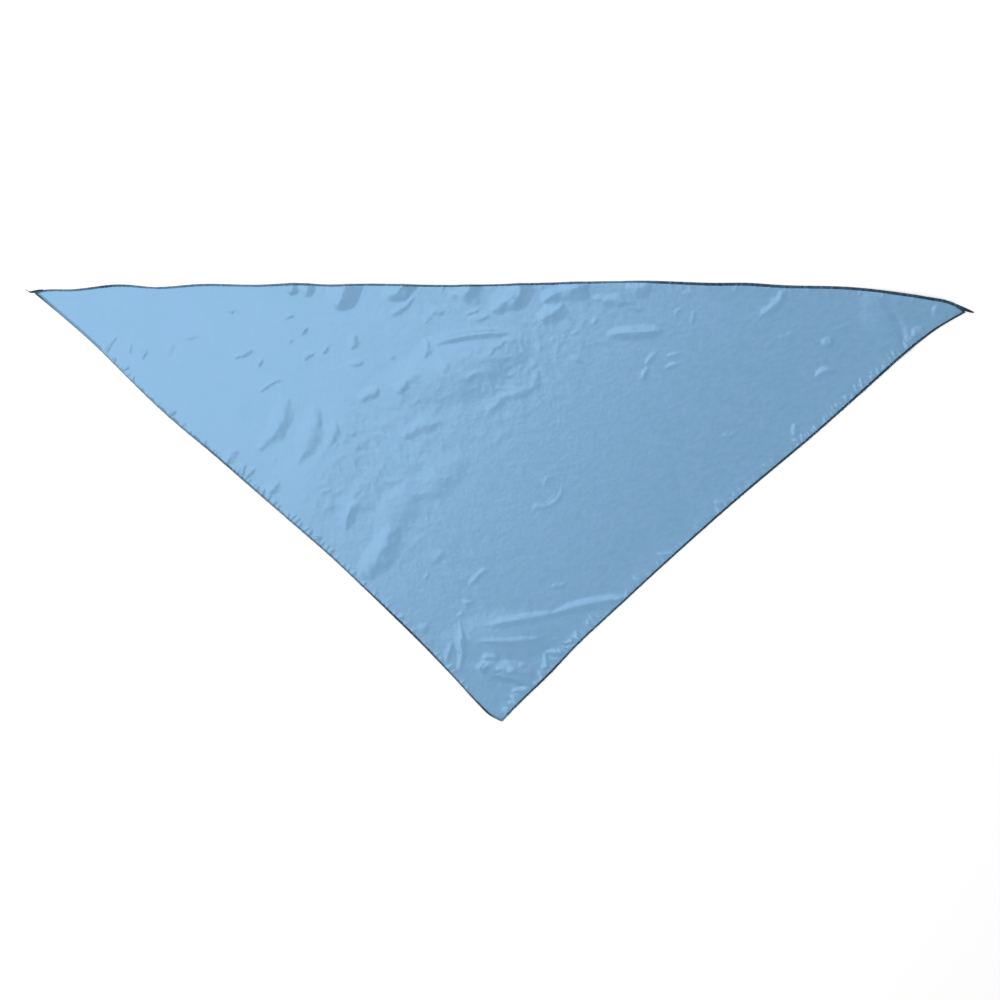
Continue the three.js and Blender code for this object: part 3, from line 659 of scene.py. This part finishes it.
def satin_material():
    """Woven satin, a little uneven in its surface, its gloss and its dye, with painted shade in its
    colour.

    The colour is specked in short slanting streaks, hardly on the left and more to the right: a
    little of it is uneven dye, most of it is painted shade of fine slanting wrinkles, strongest
    away from the panel's mirror image.
    """
    satin = bpy.data.materials.new("sky blue satin")
    satin.use_nodes = True
    tree = satin.node_tree
    shader = tree.nodes["Principled BSDF"]
    shader.inputs["Metallic"].default_value = SHEEN
    coordinates = tree.nodes.new("ShaderNodeTexCoord")
    place = coordinates.outputs["Object"]

    weave = tree.nodes.new("ShaderNodeGroup")
    weave.node_tree = weave_group()
    weave.inputs["Thread Width"].default_value = WEAVE_THREAD
    tree.links.new(coordinates.outputs["UV"], weave.inputs["Place"])
    unrest = bumped(tree, noise_node(tree, place, UNREST_SIZE, 3), UNREST_HEIGHT)
    normal = bumped(tree, weave.outputs["Height"], WEAVE_HEIGHT, unrest)
    tree.links.new(normal, shader.inputs["Normal"])

    shade = ranged(tree, noise_node(tree, place, SHADE_SIZE, 6), SHADE_CONTRAST, (0, 1))
    tint = mixed_colour(tree, shade, SATIN_BLUE, SATIN_VIOLET)
    axes = tree.nodes.new("ShaderNodeSeparateXYZ")
    tree.links.new(place, axes.inputs[0])
    # Painted shade: the specks grow from an eighth of their strength on the left to full on the
    # right, where the panel is not mirrored, and stand for the shading of fine wrinkles there.
    strength = ranged(tree, axes.outputs["X"], PAINTED_SHADE_FADES, (UNEVEN_DYE_AND_SHADE / 8, UNEVEN_DYE_AND_SHADE))
    streaks = tree.nodes.new("ShaderNodeMapping")
    streaks.vector_type = "TEXTURE"
    streaks.inputs["Rotation"].default_value = (0, 0, math.radians(STREAK_TURN))
    streaks.inputs["Scale"].default_value = (STREAK_STRETCH, 1, 1)
    tree.links.new(place, streaks.inputs["Vector"])
    dye_and_shade_specks = noise_node(tree, streaks.outputs["Vector"], SPECK_SIZE, 5)
    dye_and_shade_specks = math_node(tree, "MULTIPLY", math_node(tree, "SUBTRACT", dye_and_shade_specks, 0.5), strength)
    dye_and_painted_shade = tree.nodes.new("ShaderNodeVectorMath")
    dye_and_painted_shade.operation = "SCALE"
    tree.links.new(tint, dye_and_painted_shade.inputs[0])
    tree.links.new(math_node(tree, "ADD", dye_and_shade_specks, 1), dye_and_painted_shade.inputs["Scale"])
    tree.links.new(dye_and_painted_shade.outputs[0], shader.inputs["Base Color"])

    gloss = ranged(tree, noise_node(tree, place, GLOSS_SIZE, 2), (0, 1), SATIN_ROUGHNESS)
    tree.links.new(gloss, shader.inputs["Roughness"])
    return satin


satin = satin_material()
cloth_mesh.materials.append(satin)
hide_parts("cloth")
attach(cloth, "root")


# The hems. Each raw edge is turned under and covered with an overlock machine's dark blue
# thread, which winds round the turned cloth from one end of the edge to the other. It lies
# close in some stretches, and in others the cloth shows between its turns. Each row of stitches
# is a share along the edge, the share of the cloth that the thread hides there, and how wide the
# hem is there as a share of HEM_WIDTH. The thread's own width varies by STITCH_UNREST and stays
# within STITCH_WIDTHS, so a cover above 1 leaves fewer gaps than 1 does.
Hem = namedtuple("Hem", "piece node stitches")
HEMS = (
    Hem("long_edge_overlock", "hem_long_edge", (
        (0, 0.8, 1), (0.03, 0.6, 0.9), (0.075, 0.9, 1.25), (0.125, 0.6, 0.9), (0.175, 0.7, 1.15),
        (0.225, 0.6, 1), (0.275, 0.75, 1.25), (0.325, 0.7, 1), (0.4, 0.75, 1.1), (0.5, 0.85, 1),
        (0.58, 0.85, 1.3), (0.625, 0.65, 0.95), (0.675, 0.95, 1.4), (0.775, 1, 1.6),
        (0.82, 0.9, 1.4), (0.92, 1, 1.6), (1, 1, 1.5))),
    Hem("right_edge_overlock", "hem_right_edge", (
        (0, 1, 0.8), (0.1, 1.15, 1.2), (0.2, 1.15, 1.2), (0.28, 1.1, 1.05), (0.45, 1.15, 1.05),
        (0.6, 1.05, 0.95), (0.8, 0.95, 0.9), (0.9, 1.1, 1), (0.95, 1, 1), (0.985, 0.9, 0.95),
        (1, 0.3, 0.9))),
    Hem("left_edge_overlock", "hem_left_edge", (
        (0, 0.3, 0.9), (0.025, 0.95, 1), (0.08, 0.6, 0.9), (0.15, 0.85, 1), (0.225, 1, 1.1),
        (0.275, 0.8, 0.95), (0.33, 0.55, 0.9), (0.38, 0.7, 0.9), (0.48, 0.45, 1),
        (0.62, 0.75, 1.05), (0.68, 0.45, 0.9), (0.78, 0.35, 0.7), (0.83, 0.2, 0.5),
        (0.95, 0.25, 0.55), (0.985, 0.8, 0.8), (1, 1, 0.9))),
)
HEM_THICKNESS = 1.1 * MM
HEM_FLATNESS = 0.5
THREAD_THICKNESS = 0.3 * MM
STITCH_PITCH = 0.8 * MM
STITCH_UNREST = 0.1
STITCH_WIDTHS = (0.4, 1.6)
EDGE_SAMPLES = 1500
ROLL_SIDES = 8
ROLL_STEP = 0.8 * MM
WRAP_SIDES = 4
WRAP_STEPS = 8
Line = namedtuple("Line", "lengths middle along out up")


def edge_line(edge, step):
    """The middle line of an edge's hem, with points a step apart."""
    shares = np.linspace(0, 1, EDGE_SAMPLES)
    weights = np.zeros((len(shares), 3))
    weights[:, edge] = 1 - shares
    weights[:, (edge + 1) % 3] = shares
    line = underside_of(weights) + TO_FRAME
    line[:, 2] += CLOTH_THICKNESS / 2
    return even_line(line, step)


def lengths_along(line):
    """How far along a line each of its points is."""
    return np.append(0, np.cumsum(np.linalg.norm(np.diff(line, axis=0), axis=1)))


def even_line(line, step):
    """Points a step apart along a line, with the ways along, out and up at each."""
    so_far = lengths_along(line)
    lengths = np.linspace(0, so_far[-1], int(so_far[-1] / step) + 1)
    points = np.stack([np.interp(lengths, so_far, line[:, axis]) for axis in range(3)], axis=1)
    along = np.gradient(points, axis=0)
    along /= np.linalg.norm(along, axis=1, keepdims=True)
    out = np.stack([-along[:, 1], along[:, 0], np.zeros(len(along))], axis=1)
    out /= np.linalg.norm(out, axis=1, keepdims=True)
    return Line(lengths, points, along, out, np.cross(out, along))


def oval(line, half_width):
    """The half axes of the flat core that the thread is wound round."""
    half_height = np.minimum(HEM_FLATNESS * half_width, (HEM_THICKNESS - THREAD_THICKNESS) / 2)
    return line.out * half_width[:, None], line.up * half_height[:, None]


def tube(centres, first, second, sides):
    """A tube's points and faces, closed at both ends, from its centres and its half axes there."""
    angles = np.arange(sides) * 2 * math.pi / sides
    ring = first[:, None] * np.cos(angles)[:, None] + second[:, None] * np.sin(angles)[:, None]
    points = (centres[:, None] + ring).reshape(-1, 3)
    start = np.arange(len(centres) - 1)[:, None] * sides
    side = np.arange(sides)
    beside = (side + 1) % sides
    walls = np.stack([start + side, start + beside, start + sides + beside, start + sides + side],
                     axis=-1).reshape(-1, 4)
    caps = [tuple(range(sides))[::-1], tuple(len(points) - sides + side)]
    return points, [tuple(wall) for wall in walls] + caps


def wound(line, half_width, cover, pitch):
    """A thread wound round the core along a line, as wide as it has to be to cover it."""
    wraps = line.lengths / pitch
    angles = 2 * math.pi * wraps
    across, upwards = np.cos(angles)[:, None], np.sin(angles)[:, None]
    wide, high = oval(line, half_width)
    centres = line.middle + wide * across + high * upwards
    radial = line.out * across + line.up * upwards
    rng = np.random.default_rng(len(wraps))
    unrest = np.clip(rng.normal(1, STITCH_UNREST, int(wraps[-1]) + 3), *STITCH_WIDTHS)
    thread_width = cover * pitch * np.interp(wraps, np.arange(len(unrest)), unrest)
    return tube(centres, radial * THREAD_THICKNESS / 2, line.along * thread_width[:, None] / 2,
                WRAP_SIDES)


def joined(first, second):
    """Two lots of points and faces made one."""
    shift = len(first[0])
    moved = [tuple(corner + shift for corner in face) for face in second[1]]
    return np.concatenate([first[0], second[0]]), first[1] + moved


def piece_of(name, points, faces):
    """A new object from points and faces."""
    mesh = bpy.data.meshes.new(name)
    mesh.from_pydata(points.tolist(), [], faces)
    mesh.update()
    mesh.shade_smooth()
    piece = bpy.data.objects.new(name, mesh)
    bpy.context.collection.objects.link(piece)
    return piece


def along_edge(line, rows):
    """The thread's cover, and half the width of the turned cloth under it, along an edge."""
    shares, covers, widths = np.array(rows).T
    at = line.lengths / line.lengths[-1]
    width = HEM_WIDTH * np.interp(at, shares, widths)
    return np.interp(at, shares, covers), (width - THREAD_THICKNESS) / 2


turned_edges = []
overlocks = []
for edge, hem in enumerate(HEMS):
    line = edge_line(edge, ROLL_STEP)
    _, half_width = along_edge(line, hem.stitches)
    turned = piece_of(hem.node + "_turned_cloth",
                      *tube(line.middle, *oval(line, half_width), ROLL_SIDES))
    around = np.arange(ROLL_SIDES) * 2 * HEM_WIDTH / ROLL_SIDES
    add_weave_map(turned.data, np.column_stack([np.repeat(line.lengths, ROLL_SIDES),
                                                np.tile(around, len(line.lengths))]))
    turned_edges.append(turned)
    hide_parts(hem.node)
    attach(turned, "root")
    line = edge_line(edge, STITCH_PITCH / WRAP_STEPS)
    cover, half_width = along_edge(line, hem.stitches)
    overlock = piece_of(hem.piece, *wound(line, half_width, cover, STITCH_PITCH))
    overlocks.append(overlock)
    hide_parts(hem.node)
    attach(overlock, "root")

# At each end of the long edge the stitches run on past the cloth, into a tail of the same thread.
# Each row of a tail's route is a place as shares of LONG_EDGE and POINT_DROP, and its thickness.
TAIL_LIFT = 0.6 * MM
TAIL_PITCH = 1.1 * MM
TAILS = {
    "left_tip_tail": ((0.0117, -0.0039, 2 * MM), (0.0053, -0.0021, 2.4 * MM),
                      (0.0011, 0.0000, 2.4 * MM), (-0.0021, 0.0010, 1.6 * MM),
                      (-0.0043, -0.0008, 0.45 * MM), (-0.0059, -0.0031, 0.35 * MM),
                      (-0.0076, -0.0051, 0.3 * MM)),
    "right_tip_tail": ((0.9827, -0.0160, 2.4 * MM), (0.9892, -0.0110, 2.8 * MM),
                       (0.9957, -0.0050, 3 * MM), (1.0000, -0.0010, 3 * MM),
                       (1.0032, 0.0016, 2.2 * MM), (1.0064, 0.0036, 1.2 * MM)),
}
for name, route in TAILS.items():
    along, down, thick = np.array(route).T
    height = np.maximum(np.minimum(thick * HEM_FLATNESS, HEM_THICKNESS) / 2, TAIL_LIFT)
    route_points = np.column_stack([along * LONG_EDGE, -down * POINT_DROP, height]) + TO_FRAME
    line = even_line(route_points, TAIL_PITCH / WRAP_STEPS)
    half_width = np.interp(line.lengths, lengths_along(route_points), thick) / 2
    core = tube(line.middle, *oval(line, half_width), ROLL_SIDES)
    tail = piece_of(name, *joined(core, wound(line, half_width, 1, TAIL_PITCH)))
    overlocks.append(tail)
    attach(tail, "root")

THREAD_DARK = (0.003, 0.012, 0.03)
THREAD_LIGHT = (0.02, 0.06, 0.11)
THREAD_ROUGHNESS = 0.7
THREAD_SPECULAR = 0.3
WEAR_SIZE = 22 * MM
FUZZ_SIZE = 0.4 * MM
FUZZ_HEIGHT = 0.1 * MM


def thread_material():
    """Dark, dull, fuzzy thread, a little lighter where it is worn."""
    thread = bpy.data.materials.new("dark blue thread")
    thread.use_nodes = True
    tree = thread.node_tree
    shader = tree.nodes["Principled BSDF"]
    shader.inputs["Roughness"].default_value = THREAD_ROUGHNESS
    shader.inputs["Specular IOR Level"].default_value = THREAD_SPECULAR
    place = tree.nodes.new("ShaderNodeTexCoord").outputs["Object"]
    tint = mixed_colour(tree, noise_node(tree, place, WEAR_SIZE, 3), THREAD_DARK, THREAD_LIGHT)
    tree.links.new(tint, shader.inputs["Base Color"])
    normal = bumped(tree, noise_node(tree, place, FUZZ_SIZE, 2), FUZZ_HEIGHT)
    tree.links.new(normal, shader.inputs["Normal"])
    return thread


hem_thread = thread_material()
for piece in overlocks:
    piece.data.materials.append(hem_thread)
for piece in turned_edges:
    piece.data.materials.append(satin)


# The surface that it lies on, and the light: an even white studio, with one large soft panel up
# on the left whose mirror image ends across the middle of the cloth.
FLOOR_SIZE = 30
STUDIO_LIGHT = 0.75
bpy.ops.mesh.primitive_plane_add(size=FLOOR_SIZE, location=(0, 0, 0))
floor = bpy.context.object
floor.name = "floor"
floor_paint = bpy.data.materials.new("floor white")
floor_paint.use_nodes = True
floor_shader = floor_paint.node_tree.nodes["Principled BSDF"]
floor_shader.inputs["Base Color"].default_value = (1, 1, 1, 1)
floor_shader.inputs["Roughness"].default_value = 1
floor_shader.inputs["Specular IOR Level"].default_value = 0
floor.data.materials.append(floor_paint)

world = bpy.data.worlds.new("studio")
bpy.context.scene.world = world
world.use_nodes = True
world.node_tree.nodes["Background"].inputs["Color"].default_value = (1, 1, 1, 1)
world.node_tree.nodes["Background"].inputs["Strength"].default_value = STUDIO_LIGHT

# The panel's near edge goes through PANEL_EDGE and is turned by PANEL_TURN in degrees.
PANEL_EDGE = (-0.03, 0.115)
PANEL_TURN = 56.7
PANEL_SIZE = (3.2, 2.4)
PANEL_HEIGHT = 2.0
PANEL_RADIANCE = 1.55
turn = math.radians(PANEL_TURN)
away = np.array([-math.sin(turn), math.cos(turn)])
panel_middle = np.array(PANEL_EDGE) + away * PANEL_SIZE[1] / 2
softbox = bpy.data.lights.new("softbox", "AREA")
softbox.shape = "RECTANGLE"
softbox.size, softbox.size_y = PANEL_SIZE
softbox.energy = PANEL_RADIANCE * math.pi * PANEL_SIZE[0] * PANEL_SIZE[1]
softbox_object = bpy.data.objects.new("softbox", softbox)
softbox_object.location = (panel_middle[0], panel_middle[1], PANEL_HEIGHT)
softbox_object.rotation_euler = (0, 0, turn)
softbox_object.visible_camera = False
bpy.context.collection.objects.link(softbox_object)

# The camera looks straight down, turned by CAMERA_TURN in degrees, and sees VIEW_WIDTH.
CAMERA_CENTRE = (4.5 * MM, 0)
CAMERA_TURN = 1.164
VIEW_WIDTH = 1069.3 * MM
LENS = 85
SENSOR = 36
lens = bpy.data.cameras.new("camera")
lens.lens = LENS
lens.sensor_width = SENSOR
camera = bpy.data.objects.new("camera", lens)
camera.location = (*CAMERA_CENTRE, VIEW_WIDTH * LENS / SENSOR)
camera.rotation_euler = (0, 0, math.radians(CAMERA_TURN))
bpy.context.collection.objects.link(camera)
bpy.context.scene.camera = camera
bpy.context.scene.view_settings.view_transform = "Standard"
